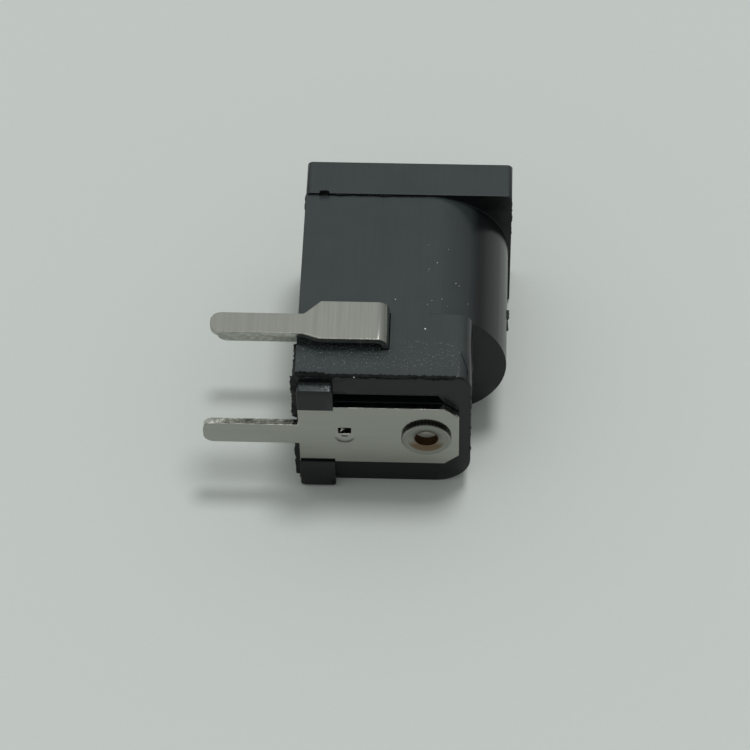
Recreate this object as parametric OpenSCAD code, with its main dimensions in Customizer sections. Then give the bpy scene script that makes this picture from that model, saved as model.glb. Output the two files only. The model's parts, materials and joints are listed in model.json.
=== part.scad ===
// Through-hole DC power jack for a 5.5 mm barrel plug, lying on its side wall.
// +X points away from the circuit board, +Y out of the mouth, +Z across the width, and Z = 0 is the side wall
// it lies on. The origin is the centre of the underside of the whole part's box. The pieces are drawn with the
// board plane at X = 0 and the rear rim at Y = 0, and each module then moves its piece with from_origin().

/* [Housing] */
// Height of the flange above the board
body_height = 11; // [10.6:0.1:11.6]
// Width over the flange and the rear band
body_width = 9; // [8.8:0.1:9.6]
// Length from the rear rim to the mouth
body_length = 14.4; // [14:0.1:15.4]
// Thickness of the flange
flange_depth = 2.2; // [1.6:0.1:2.6]
// Corner radius of the flange's outline
flange_corner_r = 0.3; // [0.1:0.05:0.6]
// How far the barrel's sides and crown stand back from the flange
barrel_relief = 0.15; // [0.05:0.01:0.2]
// Height of the socket's axis above the board
axis_height = 6.75; // [6.45:0.05:6.8]
// Length of the flat-topped rear block
rear_block_length = 4.3; // [4.1:0.1:4.6]
// Length of the full-width band at the rear block's end
rear_band_length = 2; // [1.2:0.1:3]
// Height of the rear block above the board
rear_block_height = 9.05; // [8.9:0.05:9.4]
// Radius of the rear block's corner on the switch terminal's side
rear_corner_r = 0.8; // [0.4:0.1:1]
// Radius of the rear block's corner on the side it lies on
rear_low_corner_r = 1.9; // [0.4:0.1:2]

/* [Socket] */
// Radius of the plug socket
socket_r = 3.2; // [3.1:0.05:3.3]
// Depth of the plug socket
socket_depth = 9.6; // [9.4:0.1:9.8]
// Chamfer at the socket's mouth
mouth_chamfer = 0.35; // [0.1:0.05:0.6]

/* [Centre pin] */
// Radius of the pin that enters the plug
pin_r = 1; // [0.9:0.05:1.1]
// How far the pin's tip stands back from the mouth
pin_setback = 0.9; // [0.5:0.1:1.5]
// Radius of the pin's rounded tip edge
pin_tip_r = 0.6; // [0.3:0.1:0.8]
// Radius of the collar on the socket floor
collar_r = 1.55; // [1.4:0.05:1.8]
// Thickness of the collar
collar_length = 0.7; // [0.4:0.1:1]
// Radius of the shank pressed through the rear wall
shank_r = 1.15; // [1:0.05:1.2]
// Radius of the tail that passes through the rear terminal
tail_r = 0.9; // [0.8:0.05:0.95]
// Radius of the flared rivet head
rivet_r = 1.3; // [1.15:0.01:1.4]
// Height of the rivet head over the rear terminal
rivet_height = 0.24; // [0.15:0.01:0.4]
// Radius of the hole drilled in the rivet
rivet_hole_r = 0.6; // [0.4:0.05:0.65]
// Depth of the hole drilled in the rivet
rivet_hole_depth = 1.4; // [0.8:0.1:2]

/* [Rear terminal] */
// Sheet thickness of the rear terminal
rear_sheet = 0.4; // [0.3:0.05:0.5]
// Width of its plate
plate_width = 4.76; // [4.4:0.02:4.9]
// Height of the plate's top edge above the board
plate_top = 8.45; // [8.2:0.05:8.6]
// Height of the plate's lower edge above the board
plate_bottom = 0.1; // [0.05:0.05:0.4]
// Size of the two cropped corners
plate_crop = 0.75; // [0.3:0.05:0.9]
// Height of the lanced bump above the board
lance_height = 2.5; // [2.2:0.1:3.4]
// Radius of the lanced bump
lance_r = 0.58; // [0.4:0.02:0.7]
// How far the lanced bump stands out of the plate
lance_out = 0.16; // [0.08:0.02:0.24]

/* [Solder pins] */
// Width of the rear and middle solder pins
solder_pin_width = 1.6; // [1.4:0.1:1.8]
// Reach of the rear solder pin below the board plane
rear_pin_reach = 4.9; // [3.4:0.1:5]
// Reach of the middle solder pin below the board plane
middle_pin_reach = 4.6; // [3.4:0.1:5]
// Reach of the switch solder pin below the board plane
switch_pin_reach = 4.45; // [3.4:0.05:5]
// Distance from the rear solder pin to the middle one
middle_pin_pitch = 6.6; // [6:0.1:6.8]
// Distance from the rear solder pin to the switch one
switch_pin_pitch = 3; // [2.9:0.1:3.1]
// Corner radius of the solder pins' tips
pin_corner_r = 0.55; // [0.3:0.05:0.55]

/* [Switch terminal] */
// Sheet thickness of the switch terminal
switch_sheet = 0.35; // [0.25:0.05:0.4]
// Gap between the side wall and the terminal's outer leg
switch_standoff = 0.45; // [0.3:0.05:0.6]
// Width of the outer leg along the jack
switch_leg_width = 2.45; // [2.2:0.05:2.6]
// Width of its solder pin along the jack
switch_pin_width = 1.3; // [1.2:0.1:1.5]
// Height above the board at which the terminal turns into the housing
switch_turn_height = 4.75; // [4.7:0.05:4.9]
// Outer radius of that turn
switch_turn_r = 0.6; // [0.5:0.05:0.8]
// How far the leg reaches past the solder pin's rear edge
leg_overhang = 0.3; // [0.1:0.05:0.4]
// Length of the slanted shoulder between pin and leg
shoulder_length = 0.85; // [0.6:0.05:1.1]
// Height above the board at which the shoulder starts
shoulder_height = 0.3; // [0.2:0.05:0.5]
// Height above the board of the contact finger's tip
finger_height = 3.15; // [3.1:0.05:3.3]

/* [Sleeve spring] */
// Sheet thickness of the sleeve spring
spring_sheet = 0.3; // [0.2:0.05:0.3]
// Width of its base strip
strip_width = 3.6; // [3.4:0.1:3.8]
// Width of its leaf
leaf_width = 2.4; // [2:0.1:2.6]
// Height of the base strip's underside above the board
strip_height = 0.4; // [0.3:0.05:0.5]
// How far the leaf bulges into the socket
leaf_bulge = 0.55; // [0.3:0.05:0.7]
// Distance from the mouth to the hairpin's outside
hairpin_setback = 1.5; // [1.3:0.1:2]

/* [Lugs and fits] */
// Length of a rear lug along the pin direction
lug_length = 1.85; // [1.5:0.05:2.1]
// How far a rear lug stands out of the rear rim
lug_out = 0.57; // [0.5:0.01:0.7]
// Distance from the upper lug's outer side to the side wall
lug_inset = 0.55; // [0.3:0.05:0.7]
// Distance from the lower lug's outer side to the side wall it lies on
lug_low_inset = 0.15; // [0.1:0.05:0.7]
// How far a lug's lip reaches over the plate's edge
lug_lip = 0.1; // [0.05:0.01:0.15]
// Width of the groove beside the plate
groove_width = 0.6; // [0.4:0.05:0.8]
// Depth of the groove beside the plate
groove_depth = 0.5; // [0.3:0.05:0.8]
// Clearance between a terminal and the moulding
fit_gap = 0.03; // [0.02:0.01:0.05]

/* [Hidden] */
$fn = 64;
black = "#26292b";
nickel = "#b9bcb0";

// overshoot of a cut past the face that it opens
over = 1;
// overlap where two runs of one sheet join
lap = 0.02;
mid = body_width / 2;
barrel_r = mid - barrel_relief;
crown_centre_x = body_height - barrel_relief - barrel_r;
flange_rear = body_length - flange_depth;
socket_floor = body_length - socket_depth;
socket_bottom = axis_height - socket_r;

// the plate lies on the rear rim, with its outer face towards -Y
plate_back = -fit_gap;
plate_face = plate_back - rear_sheet;
plate_half = plate_width / 2;
rear_pin_y = plate_back - rear_sheet / 2;
middle_pin_y = rear_pin_y + middle_pin_pitch;
switch_pin_y = rear_pin_y + switch_pin_pitch;
rivet_face = plate_face - rivet_height;
lance_z = -0.1;
slit_low = 0.24;
slit_high = 0.62;
slit_half = 0.34;

// a lug spans from the plate's edge to near the side wall
lug_shelf = plate_half + fit_gap;
lug_corner_r = 0.2;
lug_end = plate_bottom + lug_length;
groove_end = plate_top - plate_crop;
groove_slant = 0.6 * groove_width;

// the switch terminal's outer leg and its turn into the side wall
switch_under = body_width + switch_standoff;
switch_top = switch_under + switch_sheet;
leg_y0 = switch_pin_y - switch_pin_width / 2 - leg_overhang;
leg_y1 = leg_y0 + switch_leg_width;
turn_centre_x = switch_turn_height - switch_turn_r;
turn_centre_z = switch_top - switch_turn_r;
inner_leg_x = switch_turn_height - switch_sheet / 2;

// its contact finger, in the chamber under the centre pin
finger_x = finger_height + switch_sheet / 2;
finger_bend_z = mid + 2.1;
finger_flat_z = mid + 0.8;
finger_end_z = mid - 0.9;
finger_margin = 0.3;
chamber_half = 2.3;

// the sleeve spring: base strip, hairpin at the mouth end, leaf back to the switch finger
strip_top = strip_height + spring_sheet;
strip_half = strip_width / 2;
leaf_half = leaf_width / 2;
bend_r = 0.25;
hairpin_r = 0.75;
hairpin_y = body_length - hairpin_setback;
hairpin_centre_x = strip_height + hairpin_r;
hairpin_centre_y = hairpin_y - hairpin_r;
leaf_start_x = strip_height + 2 * hairpin_r - spring_sheet / 2;
leaf_peak_x = socket_bottom + leaf_bulge - spring_sheet / 2;
leaf_peak_y = (socket_floor + hairpin_y) / 2;
leaf_tail_x = finger_height - spring_sheet / 2;
leaf_tail_y = leg_y0 + finger_margin;
leaf_line = [
  [leaf_start_x, hairpin_centre_y + lap],
  [leaf_start_x, hairpin_centre_y - 0.2],
  [leaf_start_x + 0.3, hairpin_centre_y - 0.7],
  [leaf_peak_x - 0.12, leaf_peak_y + 0.6],
  [leaf_peak_x, leaf_peak_y + 0.2],
  [leaf_peak_x, leaf_peak_y - 0.2],
  [leaf_peak_x - 0.12, leaf_peak_y - 0.6],
  [leaf_tail_x + 0.08, socket_floor + 1.2],
  [leaf_tail_x, socket_floor + 0.6],
  [leaf_tail_x, leaf_tail_y]
];

// the channel under the socket: a wide lower part for the strip, a narrower one for the leaf
channel_half = strip_half + fit_gap;
channel_rear = middle_pin_y - spring_sheet / 2 - fit_gap;
channel_front = hairpin_y + fit_gap;
leaf_channel_half = leaf_half + 0.15;
leaf_window_x = axis_height - sqrt(socket_r ^ 2 - leaf_channel_half ^ 2) + fit_gap;
leaf_room_x = finger_height + 0.35;

// the left and right sides of a line of points, half a sheet from it
function unit(v) = v / norm(v);
function square_to(v) = [-v[1], v[0]];
function along(line, i) = unit(line[min(i + 1, len(line) - 1)] - line[max(i - 1, 0)]);
function beside(line, half) = [for (i = [0:len(line) - 1]) line[i] + half * square_to(along(line, i))];
function reversed(line) = [for (i = [len(line) - 1:-1:0]) line[i]];

// a sheet seen on edge, along a line of points
module sheet_edge(line, sheet) {
  polygon(concat(beside(line, sheet / 2), reversed(beside(line, -sheet / 2))));
}

// a quarter turn of a sheet seen on edge, on the side of its centre that the sign gives
module bend_edge(centre, outer_r, sheet, side) {
  translate(centre) intersection() {
    difference() {
      circle(outer_r);
      circle(outer_r - sheet);
    }
    translate([min(side, 0) * outer_r - lap * max(side, 0), -lap]) square(outer_r + lap);
  }
}

// from the board plane and the rear rim to the origin
module from_origin() {
  translate([-(body_height - rear_pin_reach) / 2, -(body_length + rivet_face) / 2, 0]) children();
}

// rectangle with four round corners, from the origin
module rounded_rect(w, h, r) {
  translate([r, 0]) square([w - 2 * r, h]);
  translate([0, r]) square([w, h - 2 * r]);
  for (x = [r, w - r], y = [r, h - r])
    translate([x, y]) circle(r);
}

// a profile drawn in X and Z, extruded along Y from y0 to y1
module along_y(y0, y1) {
  translate([0, y1, 0]) rotate([90, 0, 0]) linear_extrude(y1 - y0) children();
}

// a profile drawn in X and Y, extruded along Z from z0 to z1
module along_z(z0, z1) {
  translate([0, 0, z0]) linear_extrude(z1 - z0) children();
}

// a cylinder on the socket's axis, from y0 to y1
module on_axis(r, y0, y1) {
  translate([axis_height, y1, mid]) rotate([90, 0, 0]) cylinder(r = r, h = y1 - y0);
}

// a revolved outline of [radius, y] points on the socket's axis
module turned(outline) {
  translate([axis_height, 0, mid]) rotate([-90, 0, 0]) rotate_extrude() polygon(outline);
}

// a box from its low corner to its high corner
module block(low, high) {
  translate(low) cube(high - low);
}

// block with a flat crown, a small round corner above and a large one below, its sides drawn in by inset
module rear_outline(inset) {
  low_x = rear_block_height - rear_low_corner_r;
  low_z = inset + rear_low_corner_r;
  high_x = rear_block_height - rear_corner_r;
  high_z = body_width - inset - rear_corner_r;
  translate([0, inset]) square([low_x, body_width - 2 * inset]);
  translate([0, low_z]) square([high_x, body_width - inset - low_z]);
  translate([0, low_z]) square([rear_block_height, high_z - low_z]);
  translate([low_x, low_z]) circle(rear_low_corner_r);
  translate([high_x, high_z]) circle(rear_corner_r);
}

// flat sides and floor with a half-round crown
module barrel_outline() {
  translate([0, mid - barrel_r]) square([crown_centre_x, 2 * barrel_r]);
  translate([crown_centre_x, mid]) circle(barrel_r);
}

// a solder pin's flat outline, pointing to -X, with two round corners at its tip
module pin_outline(reach, width, root) {
  translate([-reach, pin_corner_r - width / 2]) square([reach + root, width - 2 * pin_corner_r]);
  translate([pin_corner_r - reach, -width / 2]) square([reach + root - pin_corner_r, width]);
  for (s = [-1, 1])
    translate([pin_corner_r - reach, s * (width / 2 - pin_corner_r)]) circle(pin_corner_r);
}

// a rear lug above the middle plane: a shelf beside the plate and a lip over its edge
module lug(inset) {
  outer = mid - inset;
  along_y(-lug_out, over / 2)
    translate([plate_bottom, lug_shelf]) rounded_rect(lug_length, outer - lug_shelf, lug_corner_r);
  block([plate_bottom, -lug_out, plate_half - lug_lip],
        [lug_end, plate_face - fit_gap, outer - lug_corner_r]);
}

// a long groove in the rear rim beside the plate, with its far end cut on the slant
module groove() {
  inner = plate_half - fit_gap;
  outer = plate_half + groove_width;
  along_y(-over, groove_depth)
    polygon([[lug_end, inner], [groove_end, inner], [groove_end - groove_slant, outer], [lug_end, outer]]);
}

// the plug socket with its chamfered mouth, and the hole that holds the centre pin
module socket_cut() {
  on_axis(socket_r, socket_floor, body_length + over);
  translate([axis_height, body_length - mouth_chamfer, mid]) rotate([-90, 0, 0])
    cylinder(r1 = socket_r, r2 = socket_r + mouth_chamfer + over, h = mouth_chamfer + over);
  on_axis(shank_r + fit_gap, -over, socket_floor + over);
}

// the sleeve spring's channel, open to the board and into the socket
module channel_cut() {
  block([-over, channel_rear, mid - channel_half], [strip_top + fit_gap, channel_front, mid + channel_half]);
  block([-over, socket_floor, mid - leaf_channel_half], [leaf_window_x, channel_front, mid + leaf_channel_half]);
  block([-over, leaf_tail_y - finger_margin, mid - leaf_channel_half],
        [leaf_room_x, socket_floor + over, mid + leaf_channel_half]);
}

// the switch chamber, open to the board, and the slot that the terminal's inner leg goes through
module switch_cut() {
  y0 = leg_y0 - fit_gap;
  y1 = leg_y1 + fit_gap;
  block([-over, y0, mid - chamber_half], [switch_turn_height + fit_gap, y1, mid + chamber_half]);
  block([switch_turn_height - switch_sheet - fit_gap, y0, mid],
        [switch_turn_height + fit_gap, y1, body_width + over]);
}

module housing() {
  color(black) from_origin() difference() {
    union() {
      along_y(0, rear_band_length) rear_outline(0);
      along_y(rear_band_length, rear_block_length) rear_outline(barrel_relief);
      along_y(rear_block_length, flange_rear) barrel_outline();
      along_y(flange_rear, body_length) rounded_rect(body_height, body_width, flange_corner_r);
      translate([0, 0, mid]) lug(lug_inset);
      translate([0, 0, mid]) mirror([0, 0, 1]) lug(lug_low_inset);
    }
    socket_cut();
    channel_cut();
    switch_cut();
    translate([0, 0, mid]) groove();
    translate([0, 0, mid]) mirror([0, 0, 1]) groove();
  }
}

// the pin's outline from its tip in the socket to the funnel in its flared tail
module centre_pin() {
  tip_y = body_length - pin_setback;
  collar_front = socket_floor + collar_length;
  edge = 0.06;
  land = 0.3;
  funnel = 0.12;
  drill_point = 0.3;
  color(nickel) from_origin() turned(concat(
    [[0, tip_y]],
    [for (a = [90:-15:0]) [pin_r - pin_tip_r * (1 - cos(a)), tip_y - pin_tip_r * (1 - sin(a))]],
    [
      [pin_r, collar_front],
      [collar_r, collar_front],
      [collar_r, socket_floor],
      [shank_r, socket_floor],
      [shank_r, plate_back],
      [tail_r, plate_back],
      [tail_r, plate_face],
      [rivet_r, plate_face],
      [rivet_r, rivet_face + edge],
      [rivet_r - edge, rivet_face],
      [rivet_r - land, rivet_face],
      [rivet_hole_r, rivet_face + funnel],
      [rivet_hole_r, rivet_face + rivet_hole_depth],
      [0, rivet_face + rivet_hole_depth + drill_point]
    ]
  ));
}

// the plate's flat outline with its two cropped corners
module plate_outline() {
  polygon([
    [plate_bottom, -plate_half],
    [plate_top - plate_crop, -plate_half],
    [plate_top, plate_crop - plate_half],
    [plate_top, plate_half - plate_crop],
    [plate_top - plate_crop, plate_half],
    [plate_bottom, plate_half]
  ]);
}

// the round cap that the lanced bump is a part of, out from a plane of the plate
module lance_cap(plane_y) {
  cap_r = (lance_r ^ 2 + lance_out ^ 2) / (2 * lance_out);
  intersection() {
    translate([lance_height, plane_y - lance_out + cap_r, mid + lance_z]) sphere(cap_r);
    block([lance_height - lance_r, plane_y - over, mid + lance_z - lance_r],
          [lance_height + lance_r, plane_y + fit_gap, mid + lance_z + lance_r]);
  }
}

module rear_terminal() {
  color(nickel) from_origin() difference() {
    union() {
      along_y(plate_face, plate_back) translate([0, mid]) {
        plate_outline();
        pin_outline(rear_pin_reach, solder_pin_width, plate_bottom + over);
      }
      lance_cap(plate_face);
    }
    lance_cap(plate_back);
    block([lance_height - slit_half, plate_face - over, mid + slit_low],
          [lance_height + slit_half, plate_back + over, mid + slit_high]);
    on_axis(tail_r + fit_gap, plate_face - over, plate_back + over);
  }
}

module sleeve_spring() {
  strip_rear = middle_pin_y + spring_sheet / 2 + bend_r;
  color(nickel) from_origin() union() {
    along_y(middle_pin_y - spring_sheet / 2, middle_pin_y + spring_sheet / 2)
      translate([0, mid]) pin_outline(middle_pin_reach, solder_pin_width, strip_height - bend_r + lap);
    along_z(mid - solder_pin_width / 2, mid + solder_pin_width / 2)
      mirror([0, 1]) bend_edge([strip_height - bend_r, -strip_rear], bend_r + spring_sheet, spring_sheet, 1);
    block([strip_height, strip_rear - lap, mid - strip_half], [strip_top, hairpin_centre_y, mid + strip_half]);
    along_z(mid - leaf_half, mid + leaf_half) {
      translate([strip_height, strip_rear]) square([spring_sheet, hairpin_centre_y + lap - strip_rear]);
      bend_edge([hairpin_centre_x, hairpin_centre_y], hairpin_r, spring_sheet, 1);
      bend_edge([hairpin_centre_x, hairpin_centre_y], hairpin_r, spring_sheet, -1);
      sheet_edge(leaf_line, spring_sheet);
    }
  }
}

// the switch terminal's flat outline over the side wall: solder pin, shoulder and leg
module switch_outline() {
  pin_y0 = switch_pin_y - switch_pin_width / 2;
  pin_y1 = switch_pin_y + switch_pin_width / 2;
  shoulder_end = shoulder_height + shoulder_length;
  translate([0, switch_pin_y]) pin_outline(switch_pin_reach, switch_pin_width, shoulder_height);
  polygon([
    [shoulder_height, pin_y0],
    [shoulder_end, leg_y0],
    [turn_centre_x, leg_y0],
    [turn_centre_x, leg_y1],
    [shoulder_end, leg_y1],
    [shoulder_height, pin_y1]
  ]);
}

module switch_terminal() {
  finger_line = [
    [inner_leg_x, turn_centre_z],
    [inner_leg_x, finger_bend_z],
    [finger_x, finger_flat_z],
    [finger_x, finger_end_z]
  ];
  color(nickel) from_origin() union() {
    along_z(switch_under, switch_top) switch_outline();
    along_y(leg_y0, leg_y1) {
      bend_edge([turn_centre_x, turn_centre_z], switch_turn_r, switch_sheet, 1);
      translate([inner_leg_x - switch_sheet / 2, finger_bend_z])
        square([switch_sheet, turn_centre_z - finger_bend_z]);
    }
    along_y(leg_y0 + finger_margin, leg_y1 - finger_margin) sheet_edge(finger_line, switch_sheet);
  }
}

housing();
centre_pin();
rear_terminal();
sleeve_spring();
switch_terminal();
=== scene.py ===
import json
import math
import random

import bmesh
import bpy
from bpy.props import FloatProperty, FloatVectorProperty, IntProperty, PointerProperty, StringProperty
from mathutils import Matrix, Vector, noise
from mathutils.kdtree import KDTree


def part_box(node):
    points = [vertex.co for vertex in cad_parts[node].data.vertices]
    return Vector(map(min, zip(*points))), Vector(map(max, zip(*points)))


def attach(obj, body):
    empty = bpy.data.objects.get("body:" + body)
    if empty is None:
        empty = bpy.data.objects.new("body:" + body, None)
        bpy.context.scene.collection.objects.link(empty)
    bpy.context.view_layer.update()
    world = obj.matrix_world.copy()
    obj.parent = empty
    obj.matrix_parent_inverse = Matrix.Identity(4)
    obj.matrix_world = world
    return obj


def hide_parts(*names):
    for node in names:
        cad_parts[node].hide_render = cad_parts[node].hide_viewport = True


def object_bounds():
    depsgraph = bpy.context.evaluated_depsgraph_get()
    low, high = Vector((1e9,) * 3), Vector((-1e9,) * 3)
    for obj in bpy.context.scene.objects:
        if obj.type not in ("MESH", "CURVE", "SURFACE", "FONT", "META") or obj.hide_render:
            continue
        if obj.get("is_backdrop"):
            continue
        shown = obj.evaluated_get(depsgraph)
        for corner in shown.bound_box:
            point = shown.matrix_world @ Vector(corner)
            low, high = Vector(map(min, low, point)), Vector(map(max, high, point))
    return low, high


bl_info = {
    "name": "DC barrel jack",
    "version": (1, 0, 0),
    "blender": (4, 5, 0),
    "location": "View3D > Sidebar > Jack",
    "description": "Dresses a DC barrel jack: moulded housing, plated terminals, riveted pin and stage",
    "category": "Object",
}

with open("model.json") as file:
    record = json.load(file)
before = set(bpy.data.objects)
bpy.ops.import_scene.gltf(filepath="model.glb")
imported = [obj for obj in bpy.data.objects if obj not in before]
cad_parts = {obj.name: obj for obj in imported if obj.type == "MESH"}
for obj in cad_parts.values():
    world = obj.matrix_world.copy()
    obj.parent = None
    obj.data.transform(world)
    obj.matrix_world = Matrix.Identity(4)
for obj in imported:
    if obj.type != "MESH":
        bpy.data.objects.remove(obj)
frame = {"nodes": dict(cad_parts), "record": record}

MM = 0.001
HOUSING_LOW, HOUSING_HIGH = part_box("housing")
PLATE_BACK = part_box("rear_terminal")[1].y
TAIL_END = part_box("centre_pin")[0].y
MOUNTS = {mount["name"]: mount for mount in frame["record"]["mounts"]}
AXIS = Vector(MOUNTS["plug_pin"]["pos_m"])
FIT_GAP = 0.03 * MM
REAR_RIM = PLATE_BACK + FIT_GAP  # the housing's rear rim, which the rear terminal's plate lies against

# Rounding of sharp edges
SHARP = math.radians(32)  # faces that meet at more than this make an edge to round
EDGE_SHARE = 0.45  # of the room to the next edge that a rounding takes
LEAST_SHARE = 0.06  # of the full radius, on the most crowded edges
EDGE_STEP = 0.04  # mm, spacing of the points that measure the room

# Sizes and places of the moulding in mm, from its board plane, rear rim and side wall
BARREL_RADIUS = 4.35
BARREL_HEIGHT = 6.5  # of the crown's axis over the board
BARREL_MIDDLE = 4.5  # of the crown's axis over the side wall
BLOCK_CROWN = 9.0  # over the board, just inside the rear block's flat crown, where its fins are rooted
FLANGE_DEPTH = 2.2
FIN_ROOT = 0.05  # half a fin's thickness at its root, and how far the root sinks in
FIN_TIP = 0.3 * FIN_ROOT


# ---------------------------------------------------------------- settings


class JackShape(bpy.types.PropertyGroup):
    mould_edge: FloatProperty(
        name="Moulding edge", description="Radius of the moulding's edges",
        default=0.03 * MM, min=0.01 * MM, max=0.07 * MM, unit="LENGTH")
    sheet_edge: FloatProperty(
        name="Sheet edge", description="Radius that stamping leaves on the sheet's edges",
        default=0.045 * MM, min=0.01 * MM, max=0.1 * MM, unit="LENGTH")
    rolled_edge: FloatProperty(
        name="Rolled edge", description="Edge radius of the switch terminal",
        default=0.09 * MM, min=0.01 * MM, max=0.14 * MM, unit="LENGTH")
    turned_edge: FloatProperty(
        name="Turned edge", description="Radius of the turned pin's edges",
        default=0.02 * MM, min=0.005 * MM, max=0.05 * MM, unit="LENGTH")
    flash_height: FloatProperty(
        name="Flash height", description="How far the ragged flash stands out of the parting lines",
        default=0.3 * MM, min=0.02 * MM, max=0.35 * MM, unit="LENGTH")
    flash_step: FloatProperty(
        name="Flash step", description="Spacing of the flash's points along a parting line",
        default=0.06 * MM, min=0.03 * MM, max=0.3 * MM, unit="LENGTH")
    seed: IntProperty(
        name="Seed", description="Seed of the ragged flash", default=7, min=0)


class JackFinish(bpy.types.PropertyGroup):
    moulding: StringProperty(
        name="Moulding", description="Black polyester moulding, as sRGB hex", default="#0f1213")
    film_and_painted_light: StringProperty(
        # Partly dust and partly painted light: this colour makes the faces that look up lighter
        name="Dust film", description="Dust film on the faces that look up, as sRGB hex", default="#323939")
    moulding_rough: FloatProperty(
        name="Moulding roughness", description="Roughness of the moulded faces",
        default=0.24, min=0, max=1, subtype="FACTOR")
    nickel: StringProperty(
        name="Nickel plate", description="Satin nickel plate on the terminals, as sRGB hex",
        default="#989992")
    nickel_rough: FloatProperty(
        name="Nickel roughness", description="Roughness of the plated sheet",
        default=0.2, min=0, max=1, subtype="FACTOR")
    brass: StringProperty(
        name="Bare brass", description="Brass in the drilled rivet, as sRGB hex", default="#65503a")
    dust: StringProperty(
        name="Dust", description="Pale specks on the moulding, as sRGB hex", default="#e4e4de")


class JackStage(bpy.types.PropertyGroup):
    floor: StringProperty(
        name="Floor", description="Colour of the table, as sRGB hex", default="#c0c5c1")
    sky: FloatProperty(
        name="Room light", description="Strength of the even light from the room", default=0.58, min=0)
    lamp: FloatProperty(
        name="Lamp", description="Strength of the overhead lamp", default=1.36, min=0)
    lamp_angle: FloatProperty(
        name="Lamp size", description="Angle that the lamp spans",
        default=math.radians(14), subtype="ANGLE")
    lamp_lean: FloatVectorProperty(
        name="Lamp lean", description="Sideways travel of the light for each unit down", size=2,
        default=(-0.14, -0.245), subtype="XYZ")
    azimuth: FloatProperty(
        name="Camera azimuth", description="Turn of the camera about the vertical",
        default=math.radians(3.18), subtype="ANGLE")
    elevation: FloatProperty(
        name="Camera elevation", description="Camera's angle above the horizon",
        default=math.radians(53.04), subtype="ANGLE")
    roll: FloatProperty(
        name="Camera roll", description="Turn of the picture about the view",
        default=math.radians(1.41), subtype="ANGLE")
    aim: FloatVectorProperty(
        name="Camera aim", description="Point that the camera looks at",
        default=(0.885 * MM, -3.339 * MM, 4.5 * MM), subtype="XYZ", unit="LENGTH")
    distance: FloatProperty(
        name="Camera distance", description="Distance from the camera to its aim",
        default=171.3 * MM, unit="LENGTH")
    lens: FloatProperty(
        name="Lens", description="Focal length for a 36 mm sensor", default=155.8, unit="CAMERA")


# ---------------------------------------------------------------- materials


def hex_colour(text):
    """An sRGB hex colour as linear red, green, blue and alpha."""
    values = [int(text[i:i + 2], 16) / 255 for i in (1, 3, 5)]
    return [v / 12.92 if v <= 0.04045 else ((v + 0.055) / 1.055) ** 2.4 for v in values] + [1.0]


def tinted(text, factor):
    """An sRGB hex colour with its linear light scaled by a factor."""
    return [v * factor for v in hex_colour(text)[:3]] + [1.0]


def add_node(tree, kind, inputs=None, **settings):
    """Adds a node, sets its settings, and links or sets its inputs."""
    node = tree.nodes.new(kind)
    for name, value in settings.items():
        setattr(node, name, value)
    for key, value in (inputs or {}).items():
        if isinstance(value, bpy.types.NodeSocket):
            tree.links.new(value, node.inputs[key])
        else:
            node.inputs[key].default_value = value
    return node


def new_material(name):
    """A material with a Principled shader, and its node tree and shader."""
    material = bpy.data.materials.new(name)
    material.use_nodes = True
    return material, material.node_tree, material.node_tree.nodes["Principled BSDF"]


def outer_normal(tree):
    """The surface normal, turned back where a sliver of a face has folded over."""
    surface = add_node(tree, "ShaderNodeNewGeometry")
    turn = add_node(tree, "ShaderNodeMapRange", {"Value": surface.outputs["Backfacing"], "To Min": 1.0,
                                                 "To Max": -1.0})
    turned = add_node(tree, "ShaderNodeVectorMath", {0: surface.outputs["Normal"],
                                                     "Scale": turn.outputs["Result"]}, operation="SCALE")
    return turned.outputs["Vector"]


def per_mm(size):
    """The texture scale at which a pattern repeats about every size millimetres."""
    return 1 / (size * MM)


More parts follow.
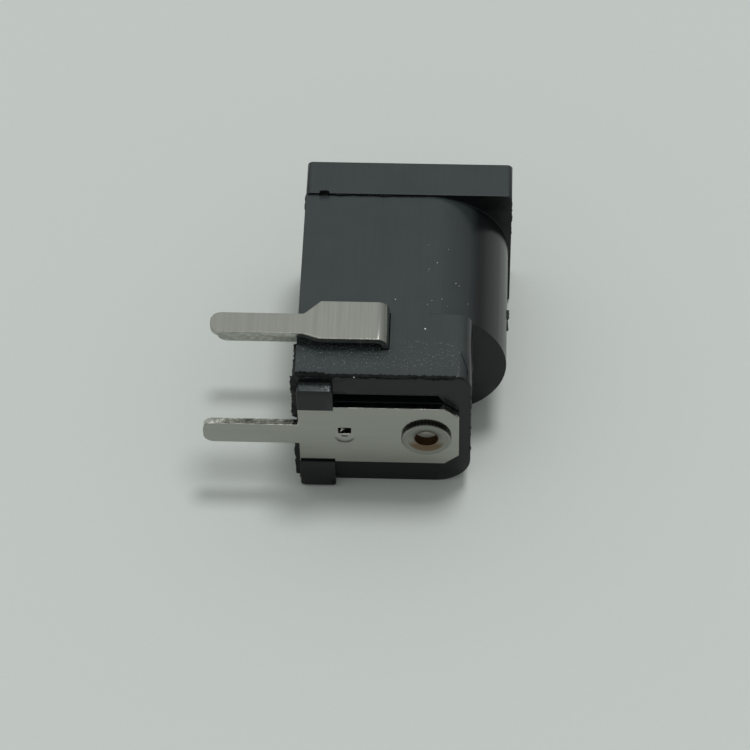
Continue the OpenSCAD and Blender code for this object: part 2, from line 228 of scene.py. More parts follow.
def moulded_polyester(finish):
    """Injection-moulded black PBT: a satin skin with faint ejection streaks along the draw, a lighter
    colour on the high faces that look up that is partly a thin film of dust and partly painted light, and
    torn grains behind the switch terminal that are painted bright as glints."""
    material, tree, shader = new_material("moulded_black_pbt")
    place = add_node(tree, "ShaderNodeTexCoord").outputs["Object"]
    streak_place = add_node(tree, "ShaderNodeMapping", {
        "Vector": place, "Scale": (per_mm(0.12), per_mm(5.0), per_mm(0.12))})
    streaks = add_node(tree, "ShaderNodeTexNoise", {"Vector": streak_place.outputs["Vector"], "Scale": 1.0,
                                                    "Detail": 3.0, "Roughness": 0.6})
    clouds = add_node(tree, "ShaderNodeTexNoise", {"Vector": place, "Scale": per_mm(1.6), "Detail": 3.0})
    skin = add_node(tree, "ShaderNodeTexNoise", {"Vector": place, "Scale": per_mm(0.09), "Detail": 4.0})
    grit = add_node(tree, "ShaderNodeTexNoise", {"Vector": place, "Scale": per_mm(0.12), "Detail": 2.0})
    grains = add_node(tree, "ShaderNodeMapRange", {"Value": grit.outputs["Fac"], "From Min": 0.57,
                                                   "From Max": 0.7})
    along = add_node(tree, "ShaderNodeSeparateXYZ", {"Vector": place})
    normal = outer_normal(tree)
    facing = add_node(tree, "ShaderNodeSeparateXYZ", {"Vector": normal})
    # Dust lies on the high faces that look up, and painted light makes them lighter
    upward = add_node(tree, "ShaderNodeMapRange", {"Value": facing.outputs["Z"], "From Min": 0.6,
                                                   "From Max": 1.0})
    high = add_node(tree, "ShaderNodeMapRange", {
        "Value": along.outputs["Z"], "From Min": HOUSING_LOW.z + 7.8 * MM,
        "From Max": HOUSING_LOW.z + 8.2 * MM})
    upward = add_node(tree, "ShaderNodeMath", {0: upward.outputs["Result"], 1: high.outputs["Result"]},
                      operation="MULTIPLY")
    # Torn grains lie in a band behind the switch terminal, fewer towards the crown, and on the lugs; on
    # faces that look up they are painted bright as glints
    start = add_node(tree, "ShaderNodeMapRange", {
        "Value": along.outputs["Y"], "From Min": REAR_RIM + 0.3 * MM, "From Max": REAR_RIM + 1.9 * MM})
    end = add_node(tree, "ShaderNodeMapRange", {
        "Value": along.outputs["Y"], "From Min": REAR_RIM + 2.6 * MM, "From Max": REAR_RIM + 2.1 * MM})
    lugs = add_node(tree, "ShaderNodeMath", {0: along.outputs["Y"], 1: REAR_RIM - 0.05 * MM},
                    operation="LESS_THAN")
    fade = add_node(tree, "ShaderNodeMapRange", {
        "Value": along.outputs["X"], "From Min": HOUSING_LOW.x + 9.0 * MM,
        "From Max": HOUSING_LOW.x + 5.0 * MM, "To Min": 0.3})
    patch = add_node(tree, "ShaderNodeMath", {0: start.outputs["Result"], 1: end.outputs["Result"]},
                     operation="MULTIPLY")
    patch = add_node(tree, "ShaderNodeMath", {0: patch.outputs["Value"], 1: fade.outputs["Result"]},
                     operation="MULTIPLY")
    patch = add_node(tree, "ShaderNodeMath", {0: patch.outputs["Value"], 1: lugs.outputs["Value"]},
                     operation="MAXIMUM")
    patch = add_node(tree, "ShaderNodeMath", {0: patch.outputs["Value"], 1: upward.outputs["Value"]},
                     operation="MULTIPLY")
    speckle = add_node(tree, "ShaderNodeMath", {0: patch.outputs["Value"], 1: grains.outputs["Result"]},
                       operation="MULTIPLY")
    tone = add_node(tree, "ShaderNodeMix", {0: streaks.outputs["Fac"], 6: tinted(finish.moulding, 0.75),
                                            7: tinted(finish.moulding, 1.25)}, data_type="RGBA")
    # The film colour is partly dust and partly painted light on the faces that look up
    film_and_painted_light = add_node(tree, "ShaderNodeMix", {0: streaks.outputs["Fac"], 6: tinted(finish.film_and_painted_light, 0.88),
                                            7: tinted(finish.film_and_painted_light, 1.12)}, data_type="RGBA")
    cover = add_node(tree, "ShaderNodeMapRange", {"Value": clouds.outputs["Fac"], "From Min": 0.3,
                                                  "From Max": 0.7, "To Min": 0.85, "To Max": 1.0})
    cover = add_node(tree, "ShaderNodeMath", {0: cover.outputs["Result"], 1: upward.outputs["Value"]},
                     operation="MULTIPLY")
    dust_and_painted_light = add_node(tree, "ShaderNodeMix", {0: cover.outputs["Value"], 6: tone.outputs[2],
                                              7: film_and_painted_light.outputs[2]}, data_type="RGBA")
    # Painted glints: the grains are coloured 2.6 times as bright as the film
    painted_grain_glints = add_node(tree, "ShaderNodeMix", {0: speckle.outputs["Value"], 6: dust_and_painted_light.outputs[2],
                                               7: tinted(finish.film_and_painted_light, 2.6)}, data_type="RGBA")
    tree.links.new(painted_grain_glints.outputs[2], shader.inputs["Base Color"])
    shader.inputs["Roughness"].default_value = finish.moulding_rough
    fine = add_node(tree, "ShaderNodeBump", {"Height": skin.outputs["Fac"], "Strength": 0.25,
                                             "Distance": 0.01 * MM, "Normal": normal})
    drawn = add_node(tree, "ShaderNodeBump", {"Height": streaks.outputs["Fac"], "Strength": 0.3,
                                              "Distance": 0.012 * MM, "Normal": fine.outputs["Normal"]})
    torn = add_node(tree, "ShaderNodeBump", {"Height": speckle.outputs["Value"], "Strength": 0.7,
                                             "Distance": 0.04 * MM, "Normal": drawn.outputs["Normal"]})
    tree.links.new(torn.outputs["Normal"], shader.inputs["Normal"])
    shader.inputs["Specular IOR Level"].default_value = 0.3
    return material


def flash_painted_shade(finish):
    """Thin torn flash of the same PBT: dull, and painted blacker than the moulded skin as shade."""
    material, tree, shader = new_material("flash_pbt_painted_shade")
    place = add_node(tree, "ShaderNodeTexCoord").outputs["Object"]
    grit = add_node(tree, "ShaderNodeTexNoise", {"Vector": place, "Scale": per_mm(0.1), "Detail": 3.0})
    # Painted shade: the flash is coloured darker on the whole than the moulding
    tone = add_node(tree, "ShaderNodeMix", {0: grit.outputs["Fac"], 6: tinted(finish.moulding, 0.3),
                                            7: tinted(finish.moulding, 1.3)}, data_type="RGBA")
    tree.links.new(tone.outputs[2], shader.inputs["Base Color"])
    torn = add_node(tree, "ShaderNodeBump", {"Height": grit.outputs["Fac"], "Strength": 0.6,
                                             "Distance": 0.05 * MM})
    tree.links.new(torn.outputs["Normal"], shader.inputs["Normal"])
    shader.inputs["Roughness"].default_value = 0.5
    shader.inputs["Specular IOR Level"].default_value = 0.25
    return material


def plated_sheet(finish, name, lines_along_y, roughness, light=1.0):
    """Stamped brass strip with satin nickel plate: faint rolling lines, slight plating stains, and torn
    grain on the sheared edges, painted brighter than the plate as glints. The lines run along Y on the
    strips and along X on the blank."""
    material, tree, shader = new_material(name)
    place = add_node(tree, "ShaderNodeTexCoord").outputs["Object"]
    across, along = per_mm(0.11), per_mm(6.0)
    lines_scale = (across, along, across) if lines_along_y else (along, across, per_mm(0.3))
    line_place = add_node(tree, "ShaderNodeMapping", {"Vector": place, "Scale": lines_scale})
    lines = add_node(tree, "ShaderNodeTexNoise", {"Vector": line_place.outputs["Vector"], "Scale": 1.0,
                                                  "Detail": 4.0, "Roughness": 0.6})
    stains = add_node(tree, "ShaderNodeTexNoise", {"Vector": place, "Scale": per_mm(0.9), "Detail": 4.0})
    line_tone = add_node(tree, "ShaderNodeMix", {
        0: lines.outputs["Fac"], 6: tinted(finish.nickel, 0.8 * light),
        7: tinted(finish.nickel, 1.12 * light)}, data_type="RGBA")
    tone = add_node(tree, "ShaderNodeMix", {0: stains.outputs["Fac"], 6: line_tone.outputs[2],
                                            7: tinted(finish.nickel, 0.95 * light)}, data_type="RGBA")
    normal = outer_normal(tree)
    facing = add_node(tree, "ShaderNodeSeparateXYZ", {"Vector": normal})
    # The strips' sheared edges look along Y and the blank's look across it
    size = add_node(tree, "ShaderNodeMath", {0: facing.outputs["Y"]}, operation="ABSOLUTE")
    low, high, dull, bright = (0.3, 0.6, 1.1, 1.5) if lines_along_y else (0.8, 0.5, 1.0, 2.4)
    sheared = add_node(tree, "ShaderNodeMapRange", {"Value": size.outputs["Value"], "From Min": low,
                                                    "From Max": high})
    torn = add_node(tree, "ShaderNodeTexNoise", {"Vector": place, "Scale": per_mm(0.32), "Detail": 2.0})
    glints = add_node(tree, "ShaderNodeMapRange", {"Value": torn.outputs["Fac"], "From Min": 0.42,
                                                   "From Max": 0.64, "To Min": dull, "To Max": bright})
    # Painted glints: the sheared edges are coloured up to 1.5 times as bright as the plate, on the blank up
    # to 2.4 times
    edge_glint_tone = add_node(tree, "ShaderNodeVectorMath", {0: hex_colour(finish.nickel)[:3],
                                                        1: glints.outputs["Result"]}, operation="MULTIPLY")
    tone = add_node(tree, "ShaderNodeMix", {0: sheared.outputs["Result"], 6: tone.outputs[2],
                                            7: edge_glint_tone.outputs["Vector"]}, data_type="RGBA")
    tree.links.new(tone.outputs[2], shader.inputs["Base Color"])
    rough = add_node(tree, "ShaderNodeMapRange", {
        "Value": lines.outputs["Fac"], "To Min": roughness - 0.06, "To Max": roughness + 0.08})
    tree.links.new(rough.outputs["Result"], shader.inputs["Roughness"])
    shader.inputs["Metallic"].default_value = 1.0
    relief = add_node(tree, "ShaderNodeBump", {"Height": lines.outputs["Fac"], "Strength": 0.35,
                                               "Distance": 0.006 * MM, "Normal": normal})
    waves = add_node(tree, "ShaderNodeBump", {"Height": stains.outputs["Fac"], "Strength": 0.2,
                                              "Distance": 0.02 * MM, "Normal": relief.outputs["Normal"]})
    ragged = add_node(tree, "ShaderNodeMath", {0: torn.outputs["Fac"], 1: sheared.outputs["Result"]},
                      operation="MULTIPLY")
    shear = add_node(tree, "ShaderNodeBump", {"Height": ragged.outputs["Value"], "Strength": 0.35,
                                              "Distance": 0.05 * MM, "Normal": waves.outputs["Normal"]})
    tree.links.new(shear.outputs["Normal"], shader.inputs["Normal"])
    return material


def turned_brass(finish):
    """Turned brass with thin nickel plate: rings from the tool, bare brown brass in the drilled hole, the
    same brown on the lip under it, and ribs round the head's flank painted dark as shade and reflection."""
    material, tree, shader = new_material("turned_plated_brass")
    place = add_node(tree, "ShaderNodeTexCoord").outputs["Object"]
    about_axis = add_node(tree, "ShaderNodeVectorMath", {0: place, 1: tuple(AXIS)}, operation="SUBTRACT")
    flat = add_node(tree, "ShaderNodeVectorMath", {0: about_axis.outputs["Vector"], 1: (1, 0, 1)},
                    operation="MULTIPLY")
    radius = add_node(tree, "ShaderNodeVectorMath", {0: flat.outputs["Vector"]}, operation="LENGTH")
    ring_place = add_node(tree, "ShaderNodeMath", {0: radius.outputs["Value"], 1: per_mm(0.09)},
                          operation="MULTIPLY")
    rings = add_node(tree, "ShaderNodeTexNoise", {"W": ring_place.outputs["Value"], "Scale": 1.0,
                                                  "Detail": 3.0}, noise_dimensions="1D")
    along = add_node(tree, "ShaderNodeSeparateXYZ", {"Vector": place})
    about = add_node(tree, "ShaderNodeSeparateXYZ", {"Vector": about_axis.outputs["Vector"]})
    # Brown bare brass in the drilled hole, and the same brown on the lip below the axis, at the tail's end
    # only
    drilled = add_node(tree, "ShaderNodeMapRange", {
        "Value": radius.outputs["Value"], "From Min": 0.72 * MM, "From Max": 0.6 * MM})
    lip = add_node(tree, "ShaderNodeMapRange", {
        "Value": radius.outputs["Value"], "From Min": 1.02 * MM, "From Max": 0.9 * MM})
    below = add_node(tree, "ShaderNodeMapRange", {
        "Value": about.outputs["Z"], "From Min": -0.1 * MM, "From Max": -0.5 * MM, "To Max": 0.85})
    lip = add_node(tree, "ShaderNodeMath", {0: lip.outputs["Result"], 1: below.outputs["Result"]},
                   operation="MULTIPLY")
    brown = add_node(tree, "ShaderNodeMath", {0: drilled.outputs["Result"], 1: lip.outputs["Value"]},
                     operation="MAXIMUM")
    at_tail = add_node(tree, "ShaderNodeMath", {0: along.outputs["Y"], 1: REAR_RIM + 1.2 * MM},
                       operation="LESS_THAN")
    brown_at_tail = add_node(tree, "ShaderNodeMath", {0: brown.outputs["Value"], 1: at_tail.outputs["Value"]},
                    operation="MULTIPLY")
    # Forty-four ribs round the head's flank, painted dark as shade and as a reflection of the dark moulding
    # above
    flank = add_node(tree, "ShaderNodeMapRange", {
        "Value": radius.outputs["Value"], "From Min": 1.27 * MM, "From Max": 1.29 * MM})
    angle = add_node(tree, "ShaderNodeMath", {0: about.outputs["X"], 1: about.outputs["Z"]},
                     operation="ARCTAN2")
    turns = add_node(tree, "ShaderNodeMath", {0: angle.outputs["Value"], 1: 44.0}, operation="MULTIPLY")
    ribs = add_node(tree, "ShaderNodeMath", {0: turns.outputs["Value"]}, operation="SINE")
    painted_flank_shade = add_node(tree, "ShaderNodeMix", {0: ribs.outputs["Value"], 6: tinted(finish.nickel, 0.06),
                                                7: tinted(finish.nickel, 0.2)}, data_type="RGBA")
    plate = add_node(tree, "ShaderNodeMix", {0: rings.outputs["Fac"], 6: tinted(finish.nickel, 0.6),
                                             7: tinted(finish.nickel, 1.0)}, data_type="RGBA")
    tone = add_node(tree, "ShaderNodeMix", {0: brown_at_tail.outputs["Value"], 6: plate.outputs[2],
                                            7: hex_colour(finish.brass)}, data_type="RGBA")
    tone = add_node(tree, "ShaderNodeMix", {0: flank.outputs["Result"], 6: tone.outputs[2],
                                            7: painted_flank_shade.outputs[2]}, data_type="RGBA")
    tree.links.new(tone.outputs[2], shader.inputs["Base Color"])
    shader.inputs["Metallic"].default_value = 1.0
    rough = add_node(tree, "ShaderNodeMapRange", {"Value": rings.outputs["Fac"], "To Min": 0.2,
                                                  "To Max": 0.36})
    tree.links.new(rough.outputs["Result"], shader.inputs["Roughness"])
    relief = add_node(tree, "ShaderNodeBump", {"Height": rings.outputs["Fac"], "Strength": 0.5,
                                               "Distance": 0.012 * MM})
    tree.links.new(relief.outputs["Normal"], shader.inputs["Normal"])
    return material


def hole_floor_glint(finish):
    """Brass that the rivet tool has pressed, half dull, with shallow dents, painted up to twice as bright
    as the plate as a glint.
    """
    material, tree, shader = new_material("hole_floor_painted_glint")
    place = add_node(tree, "ShaderNodeTexCoord").outputs["Object"]
    dents = add_node(tree, "ShaderNodeTexNoise", {"Vector": place, "Scale": per_mm(0.25)})
    # Painted glint: the floor is coloured up to 2.2 times the plate's colour
    tone = add_node(tree, "ShaderNodeMix", {0: dents.outputs["Fac"], 6: hex_colour(finish.nickel),
                                            7: tinted(finish.nickel, 2.2)}, data_type="RGBA")
    tree.links.new(tone.outputs[2], shader.inputs["Base Color"])
    shader.inputs["Metallic"].default_value = 0.6
    shader.inputs["Roughness"].default_value = 0.4
    return material


def pale_laminate(stage):
    """The table's pale laminate: matt, with a fine faint grain."""
    material, tree, shader = new_material("pale_laminate")
    place = add_node(tree, "ShaderNodeTexCoord").outputs["Object"]
    grain = add_node(tree, "ShaderNodeTexNoise", {"Vector": place, "Scale": per_mm(0.3), "Detail": 3.0})
    tone = add_node(tree, "ShaderNodeMix", {0: grain.outputs["Fac"], 6: tinted(stage.floor, 0.985),
                                            7: tinted(stage.floor, 1.015)}, data_type="RGBA")
    tree.links.new(tone.outputs[2], shader.inputs["Base Color"])
    shader.inputs["Roughness"].default_value = 0.7
    shader.inputs["Specular IOR Level"].default_value = 0.2
    return material


def pale_dust(finish):
    """Specks of pale dust: rough and uneven."""
    material, tree, shader = new_material("pale_dust")
    place = add_node(tree, "ShaderNodeTexCoord").outputs["Object"]
    lumps = add_node(tree, "ShaderNodeTexNoise", {"Vector": place, "Scale": per_mm(0.05)})
    tone = add_node(tree, "ShaderNodeMix", {0: lumps.outputs["Fac"], 6: tinted(finish.dust, 0.6),
                                            7: hex_colour(finish.dust)}, data_type="RGBA")
    tree.links.new(tone.outputs[2], shader.inputs["Base Color"])
    shader.inputs["Roughness"].default_value = 0.9
    return material


# ---------------------------------------------------------------- meshes


def new_piece(name, mesh, material):
    """A piece that rides on the jack with its finish."""
    mesh.materials.clear()
    mesh.materials.append(material)
    piece = bpy.data.objects.new(name, mesh)
    bpy.context.scene.collection.objects.link(piece)
    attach(piece, "root")
    return piece


def settled_mesh(piece):
    """Replaces a piece's mesh by the one its modifiers make."""
    bpy.context.view_layer.update()
    graph = bpy.context.evaluated_depsgraph_get()
    mesh = bpy.data.meshes.new_from_object(piece.evaluated_get(graph), preserve_all_data_layers=True,
                                           depsgraph=graph)
    piece.modifiers.clear()
    piece.data = mesh


def clean_copy(node, radius_mm, cuts_x, cuts_z, split):
    """A copy of a node's mesh with plain faces, whose sharp edges are weighted by the room round them."""
    mesh = frame["nodes"][node].data.copy()
    shape = bmesh.new()
    shape.from_mesh(mesh)
    bmesh.ops.remove_doubles(shape, verts=shape.verts, dist=0.001 * MM)
    for axis, places in ((Vector((1, 0, 0)), cuts_x), (Vector((0, 0, 1)), cuts_z)):
        for place in places:
            cut = bmesh.ops.bisect_plane(shape, geom=shape.verts[:] + shape.edges[:] + shape.faces[:],
                                         plane_co=axis * place * MM, plane_no=axis, dist=1e-8)
            for edge in cut["geom_cut"]:
                if isinstance(edge, bmesh.types.BMEdge):
                    edge.seam = True
    bmesh.ops.dissolve_limit(shape, angle_limit=math.radians(0.5), verts=shape.verts, edges=shape.edges,
                             delimit={"SEAM"})
    bmesh.ops.recalc_face_normals(shape, faces=shape.faces)
    if split:
        wide = [face for face in shape.faces if len(face.verts) > 4]
        parts = bmesh.ops.triangulate(shape, faces=wide, quad_method="BEAUTY", ngon_method="BEAUTY")
        bmesh.ops.join_triangles(shape, faces=parts["faces"], angle_face_threshold=0.01,
                                 angle_shape_threshold=math.radians(100))
    weight = shape.edges.layers.float.new("bevel_weight_edge")
    points = []
    for edge in shape.edges:
        if len(edge.link_faces) == 2 and edge.calc_face_angle(0) > SHARP:
            start, end = edge.verts[0].co / MM, edge.verts[1].co / MM
            steps = max(2, int((end - start).length / EDGE_STEP) + 1)
            points += [(start.lerp(end, i / steps), edge) for i in range(steps + 1)]
    tree = KDTree(len(points))
    for i, (point, edge) in enumerate(points):
        tree.insert(point, i)
        edge[weight] = 1.0
    tree.balance()
    for point, edge in points:
        for _, i, gap in tree.find_range(point, radius_mm / EDGE_SHARE):
            other = points[i][1]
            if not set(other.verts) & set(edge.verts):
                edge[weight] = max(LEAST_SHARE, min(edge[weight], gap * EDGE_SHARE / radius_mm))
    shape.to_mesh(mesh)
    shape.free()
    return mesh


def edge_rounded(node, name, material, radius, cuts_x=(), cuts_z=(), split=True):
    """A node's shape with its sharp edges rounded, in the node's place. The cuts are planes in mm that keep
    holes out of its wide faces, and split says whether those faces are then cut into small ones."""
    piece = new_piece(name, clean_copy(node, radius / MM, cuts_x, cuts_z, split), material)
    bevel = piece.modifiers.new("edges", "BEVEL")
    bevel.width = radius
    bevel.segments = 3
    bevel.limit_method = "WEIGHT"
    bevel.use_clamp_overlap = False
    bevel.miter_outer = "MITER_ARC"
    piece.data.shade_smooth()
    flats = piece.modifiers.new("flats", "WEIGHTED_NORMAL")
    flats.mode = "FACE_AREA"
    flats.weight = 50
    settled_mesh(piece)
    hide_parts(node)


def ragged_fin(name, route, out, side, height, cover, salt, settings, material):
    """A thin ragged fin of flash along a route in mm, standing out one way and curling to the side. Its
    cover is the share of its height that it reaches on the whole, and its salt makes it differ."""
    points = []
    for start, end in zip(route, route[1:]):
        steps = max(2, round((end - start).length / (settings.flash_step / MM)))
        points += [start.lerp(end, i / steps) for i in range(steps)]
    points.append(route[-1])
    draw = random.Random(settings.seed + salt)
    shape = bmesh.new()
    rows = []
    for i, point in enumerate(points):
        wander = noise.noise(point * 2.2 + Vector((salt, 0, 0)))
        tooth = noise.noise(point * 8.5 + Vector((0, salt, 0)))
        reach = height * min(1.0, max(0.0, cover + 0.6 * wander + 0.35 * tooth)) * draw.uniform(0.85, 1.1)
        if i in (0, len(points) - 1):
            reach = 0
        curl = side * (0.5 * wander * reach)
        rows.append([
            shape.verts.new((point - out * FIN_ROOT + side * FIN_ROOT) * MM),
            shape.verts.new((point + out * reach + side * FIN_TIP + curl) * MM),
            shape.verts.new((point + out * reach - side * FIN_TIP + curl) * MM),
            shape.verts.new((point - out * FIN_ROOT - side * FIN_ROOT) * MM),
        ])
    for one, two in zip(rows, rows[1:]):
        for k in range(4):
            shape.faces.new((one[k], one[(k + 1) % 4], two[(k + 1) % 4], two[k]))
    shape.faces.new(rows[0])
    shape.faces.new(rows[-1])
    bmesh.ops.recalc_face_normals(shape, faces=shape.faces)
    mesh = bpy.data.meshes.new(name)
    shape.to_mesh(mesh)
    shape.free()
    new_piece(name, mesh, material)


def jack_point(x, y, z):
    """A point in mm, given from the board plane, the rear rim and the side wall."""
    return Vector((HOUSING_LOW.x / MM + x, REAR_RIM / MM + y, HOUSING_LOW.z / MM + z))


# ---------------------------------------------------------------- operators


class JACK_OT_housing(bpy.types.Operator):
    """Round the moulding's edges and give it its satin skin"""

    bl_idname = "jack.housing"
    bl_label = "Moulded housing"

    def execute(self, context):
        shape, finish = context.scene.jack_shape, context.scene.jack_finish
        edge_rounded("housing", "moulded_housing", moulded_polyester(finish),
                     shape.mould_edge, cuts_x=(-1.6, 0.4, 2.4, 4.4), cuts_z=(1.0, 2.6, 4.5, 6.4, 8.0))
        return {"FINISHED"}


class JACK_OT_flash(bpy.types.Operator):
    """Raise ragged flash along the moulding's parting lines"""

    bl_idname = "jack.flash"
    bl_label = "Moulding flash"

    def execute(self, context):
        shape = context.scene.jack_shape
        skin = flash_painted_shade(context.scene.jack_finish)
        back, up, left, right = Vector((0, -1, 0)), Vector((0, 0, 1)), Vector((-1, 0, 0)), Vector((1, 0, 0))
        top = (HOUSING_HIGH.z - HOUSING_LOW.z) / MM
        crown = (HOUSING_HIGH.x - HOUSING_LOW.x) / MM
        flange = (HOUSING_HIGH.y - REAR_RIM) / MM - FLANGE_DEPTH
        barrel, block = top - 0.15, BLOCK_CROWN
        # Route, way out, way that it curls, share of the flash's height, cover
        fins = {
            "rear_edge": ([(0.0, 0.04, top), (8.3, 0.04, top)], up, back, 0.8, 0.75),
            "rear_edge_thick": ([(-0.05, 0.04, top), (1.6, 0.04, top)], up, back, 1.15, 1.0),
            # The rear lip is a dark fin put under the rear edge for the band of shade there
            "rear_shade_lip": ([(0.1, 0.03, top - 0.1), (8.2, 0.03, top - 0.1)], back, up, 0.4, 0.8),
            "rear_corner": ([(8.3, 0.05, top), (8.75, 0.05, top - 0.15)], up, back, 0.7, 0.8),
            "board_shoulder": ([(0.04, 2.2, top - 0.2), (0.04, 0.03, top - 0.2)], left, up, 0.6, 1.0),
            "board_edge": ([(0.05, 0.03, top - 0.1), (0.05, 0.03, 5.3)], left, back, 1.0, 1.15),
            "board_edge_low": ([(0.05, 0.03, 3.75), (0.05, 0.03, 0.3)], left, back, 0.85, 1.15),
            "flange": ([(1.2, flange - 0.02, barrel), (3.0, flange - 0.02, barrel)], up, back, 0.6, 0.45),
            "flange_thin": ([(3.0, flange - 0.02, barrel), (6.4, flange - 0.02, barrel)],
                            up, back, 0.3, 0.5),
            "flange_blob": ([(0.7, flange - 0.02, barrel), (0.85, flange + 0.05, barrel),
                             (1.15, flange + 0.05, barrel), (1.3, flange - 0.02, barrel)],
                            up, back, 1.2, 1.2),
            "flange_board": ([(0.03, flange + 0.1, top - 0.3), (0.03, flange - 0.9, top - 0.4)],
                             left, up, 0.3, 0.9),
            "flange_crown": ([(crown - 0.05, flange + 0.05, top - 0.4), (crown - 0.05, flange + 0.05, 5.4)],
                             right, back, 0.3, 0.7),
            "block_edge": ([(block, 1.9, top - 1.1), (block, 0.1, top - 1.1)], right, up, 0.5, 0.8),
            "block_crack": ([(8.5, 1.7, 8.93), (8.68, 1.2, 8.86), (8.86, 0.6, 8.68), (8.97, 0.05, 8.4)],
                            up, back, 0.3, 0.9),
            "block_rim": ([(block, 0.04, 7.9), (block, 0.04, 2.4)], right, back, 0.35, 0.5),
            "barrel_crown": ([(crown - 0.2, 6.5, 4.6), (crown - 0.2, 7.9, 4.7)], right, up, 0.55, 0.9),
        }
        for salt, (name, (route, out, side, share, cover)) in enumerate(fins.items()):
            ragged_fin("flash_" + name, [jack_point(*point) for point in route], out, side,
                       shape.flash_height / MM * share, cover, salt, shape, skin)
        return {"FINISHED"}


class JACK_OT_terminals(bpy.types.Operator):
    """Round the stamped edges of the three terminals and plate them"""

    bl_idname = "jack.terminals"
    bl_label = "Plated terminals"

    def execute(self, context):
        shape, finish = context.scene.jack_shape, context.scene.jack_finish
        # The blank is smoother and a little brighter than the two strips
        strip = plated_sheet(finish, "nickel_plated_strip", True, finish.nickel_rough)
        blank = plated_sheet(finish, "nickel_plated_blank", False, 0.7 * finish.nickel_rough, light=1.17)
        edge_rounded("rear_terminal", "rear_plate", blank, shape.sheet_edge, split=False)
        edge_rounded("switch_terminal", "switch_contact", strip, shape.rolled_edge,
                     split=False)
        edge_rounded("sleeve_spring", "sleeve_contact", strip, shape.sheet_edge)
        return {"FINISHED"}


class JACK_OT_centre_pin(bpy.types.Operator):
    """Round the turned pin's edges and give it its tool rings"""

    bl_idname = "jack.centre_pin"
    bl_label = "Riveted centre pin"

    def execute(self, context):
        shape, finish = context.scene.jack_shape, context.scene.jack_finish
        edge_rounded("centre_pin", "riveted_pin", turned_brass(finish), shape.turned_edge)
        new_piece("rivet_hole_floor", self.hole_floor(), hole_floor_glint(finish))
        return {"FINISHED"}

    def hole_floor(self):
        """The dished floor that the rivet tool leaves in the tail's hole, as a closed disc."""
        depth, rim, count = 0.62 * MM, 0.585 * MM, 40
        dish, thickness = 0.1 * MM, 0.2 * MM
        centre = Vector((AXIS.x, TAIL_END + depth, AXIS.z))
        turns = [2 * math.pi * i / count for i in range(count)]
        rings = [(rim, 0.0), (0.3 * rim, dish), (rim, thickness)]
        verts = [centre + Vector((r * math.cos(t), y, r * math.sin(t))) for r, y in rings for t in turns]
        faces = [(a + i, a + (i + 1) % count, b + (i + 1) % count, b + i)
                 for a, b in ((0, count), (2 * count, 0)) for i in range(count)]
        faces += [tuple(range(count, 2 * count)), tuple(range(2 * count, 3 * count))]
        mesh = bpy.data.meshes.new("rivet_hole_floor")
        mesh.from_pydata(verts, [], faces)
        mesh.update()
        return mesh


class JACK_OT_dust(bpy.types.Operator):
    """Drop a few pale specks of dust on the moulding"""

    bl_idname = "jack.dust"
    bl_label = "Dust specks"

    def execute(self, context):
        finish = context.scene.jack_finish
        draw = random.Random(context.scene.jack_shape.seed)
        shape = bmesh.new()
        spots = [(6.6, 3.3, 8.85, 0.06), (3.06, -0.02, 9.0, 0.05), (5.0, 5.2, 8.85, 0.035)]
        for _ in range(12):  # on the barrel's crown
            x = draw.uniform(BARREL_HEIGHT, 9.3)
            y = draw.uniform(4.6, 9.6)
            z = BARREL_MIDDLE + math.sqrt(BARREL_RADIUS ** 2 - (x - BARREL_HEIGHT) ** 2)
            spots.append((x, y, z, draw.uniform(0.015, 0.03)))
        for x, y, z, size in spots:
            place = Matrix.Translation(jack_point(x, y, z) * MM)
            turn = Matrix.Rotation(draw.uniform(0, math.pi), 4, "Z")
            flat = Matrix.Diagonal((size * MM, size * MM * 0.7, size * MM * 0.5, 1))
            speck = bmesh.ops.create_icosphere(shape, subdivisions=2, radius=1, matrix=place @ turn @ flat)
            for vert in speck["verts"]:
                vert.co += Vector((draw.uniform(-1, 1), draw.uniform(-1, 1), 0)) * size * 0.15 * MM
        mesh = bpy.data.meshes.new("dust_specks")
        shape.to_mesh(mesh)
        shape.free()
        mesh.shade_smooth()
        new_piece("dust_specks", mesh, pale_dust(finish))
        return {"FINISHED"}


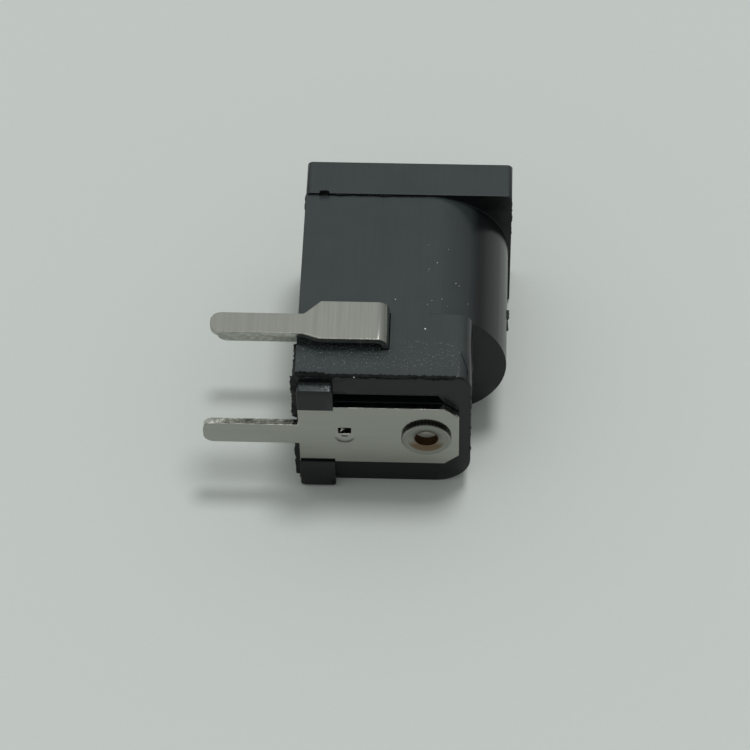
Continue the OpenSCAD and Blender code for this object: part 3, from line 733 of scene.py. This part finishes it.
class JACK_OT_stage(bpy.types.Operator):
    """Set the table, the lights and the camera"""

    bl_idname = "jack.stage"
    bl_label = "Stage"

    def execute(self, context):
        stage = context.scene.jack_stage
        self.set_table(stage)
        self.set_lights(context, stage)
        self.set_camera(context, stage)
        context.scene.view_settings.view_transform = "Standard"
        return {"FINISHED"}

    def set_table(self, stage):
        """A wide plain table under the jack."""
        half = 600 * MM
        mesh = bpy.data.meshes.new("table")
        corners = [(-half, -half, 0), (half, -half, 0), (half, half, 0), (-half, half, 0)]
        mesh.from_pydata(corners, [], [(0, 1, 2, 3)])
        mesh.materials.append(pale_laminate(stage))
        table = bpy.data.objects.new("table", mesh)
        table.location.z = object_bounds()[0].z
        bpy.context.scene.collection.objects.link(table)
        table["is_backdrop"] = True

    def set_lights(self, context, stage):
        """One soft lamp overhead, in a room that is brighter above and towards the socket and the board."""
        lamp = bpy.data.lights.new("overhead", "SUN")
        lamp.energy = stage.lamp
        lamp.angle = stage.lamp_angle
        overhead = bpy.data.objects.new("overhead", lamp)
        down = Vector((stage.lamp_lean[0], stage.lamp_lean[1], -1))
        overhead.rotation_mode = "QUATERNION"
        overhead.rotation_quaternion = down.to_track_quat("-Z", "Y")
        context.scene.collection.objects.link(overhead)
        world = bpy.data.worlds.new("room")
        world.use_nodes = True
        tree = world.node_tree
        light = tree.nodes["Background"]
        place = add_node(tree, "ShaderNodeTexCoord").outputs["Generated"]
        height = add_node(tree, "ShaderNodeSeparateXYZ", {"Vector": place})
        lift = add_node(tree, "ShaderNodeMapRange", {"Value": height.outputs["Z"], "From Min": 0.0,
                                                     "From Max": 1.0, "To Min": 0.5, "To Max": 1.25})
        back = add_node(tree, "ShaderNodeMath", {0: height.outputs["Y"], 1: 0.3, 2: 1.0},
                        operation="MULTIPLY_ADD")
        side = add_node(tree, "ShaderNodeMath", {
            0: height.outputs["X"], 1: -0.15, 2: back.outputs["Value"]}, operation="MULTIPLY_ADD")
        lift = add_node(tree, "ShaderNodeMath", {0: lift.outputs["Result"], 1: side.outputs["Value"]},
                        operation="MULTIPLY")
        seen = add_node(tree, "ShaderNodeLightPath")
        power = add_node(tree, "ShaderNodeMath", {0: lift.outputs["Value"], 1: stage.sky},
                         operation="MULTIPLY")
        strength = add_node(tree, "ShaderNodeMix", {
            0: seen.outputs["Is Camera Ray"], 2: power.outputs["Value"], 3: 1.0}, data_type="FLOAT")
        tint = add_node(tree, "ShaderNodeMix", {0: seen.outputs["Is Camera Ray"], 6: (0.97, 1.0, 0.99, 1),
                                                7: hex_colour(stage.floor)}, data_type="RGBA")
        tree.links.new(tint.outputs[2], light.inputs["Color"])
        tree.links.new(strength.outputs[0], light.inputs["Strength"])
        context.scene.world = world

    def set_camera(self, context, stage):
        """A long lens, turned about the vertical, raised and rolled."""
        data = bpy.data.cameras.new("camera")
        data.sensor_width = 36
        data.lens = stage.lens
        data.clip_start = 10 * MM
        data.clip_end = 10
        camera = bpy.data.objects.new("camera", data)
        turn, rise = -stage.azimuth, stage.elevation
        view = Vector((math.sin(turn) * math.cos(rise), math.cos(turn) * math.cos(rise), -math.sin(rise)))
        across = Vector((math.cos(turn), -math.sin(turn), 0))
        upward = across.cross(view)
        right = across * math.cos(-stage.roll) + upward * math.sin(-stage.roll)
        above = upward * math.cos(-stage.roll) - across * math.sin(-stage.roll)
        place = Vector(stage.aim) - view * stage.distance
        camera.matrix_world = Matrix((
            (right.x, above.x, -view.x, place.x),
            (right.y, above.y, -view.y, place.y),
            (right.z, above.z, -view.z, place.z),
            (0, 0, 0, 1)))
        context.scene.collection.objects.link(camera)
        context.scene.camera = camera


class JACK_PT_panel(bpy.types.Panel):
    """The jack's pieces, in the order that they are made"""

    bl_idname = "JACK_PT_panel"
    bl_label = "DC barrel jack"
    bl_space_type = "VIEW_3D"
    bl_region_type = "UI"
    bl_category = "Jack"

    def draw(self, context):
        for group in (context.scene.jack_shape, context.scene.jack_finish, context.scene.jack_stage):
            for name in group.__annotations__:
                self.layout.prop(group, name)
        for operator in OPERATORS:
            self.layout.operator(operator.bl_idname)


GROUPS = {"jack_shape": JackShape, "jack_finish": JackFinish, "jack_stage": JackStage}
OPERATORS = (
    JACK_OT_housing, JACK_OT_flash, JACK_OT_terminals, JACK_OT_centre_pin, JACK_OT_dust, JACK_OT_stage)


def register():
    for name, group in GROUPS.items():
        bpy.utils.register_class(group)
        setattr(bpy.types.Scene, name, PointerProperty(type=group))
    for kind in (*OPERATORS, JACK_PT_panel):
        bpy.utils.register_class(kind)


def unregister():
    for kind in reversed((*OPERATORS, JACK_PT_panel)):
        bpy.utils.unregister_class(kind)
    for name, group in reversed(GROUPS.items()):
        delattr(bpy.types.Scene, name)
        bpy.utils.unregister_class(group)


def main():
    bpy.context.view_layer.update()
    register()
    bpy.ops.jack.housing()
    bpy.ops.jack.flash()
    bpy.ops.jack.terminals()
    bpy.ops.jack.centre_pin()
    bpy.ops.jack.dust()
    bpy.ops.jack.stage()


if __name__ == "__main__":
    main()
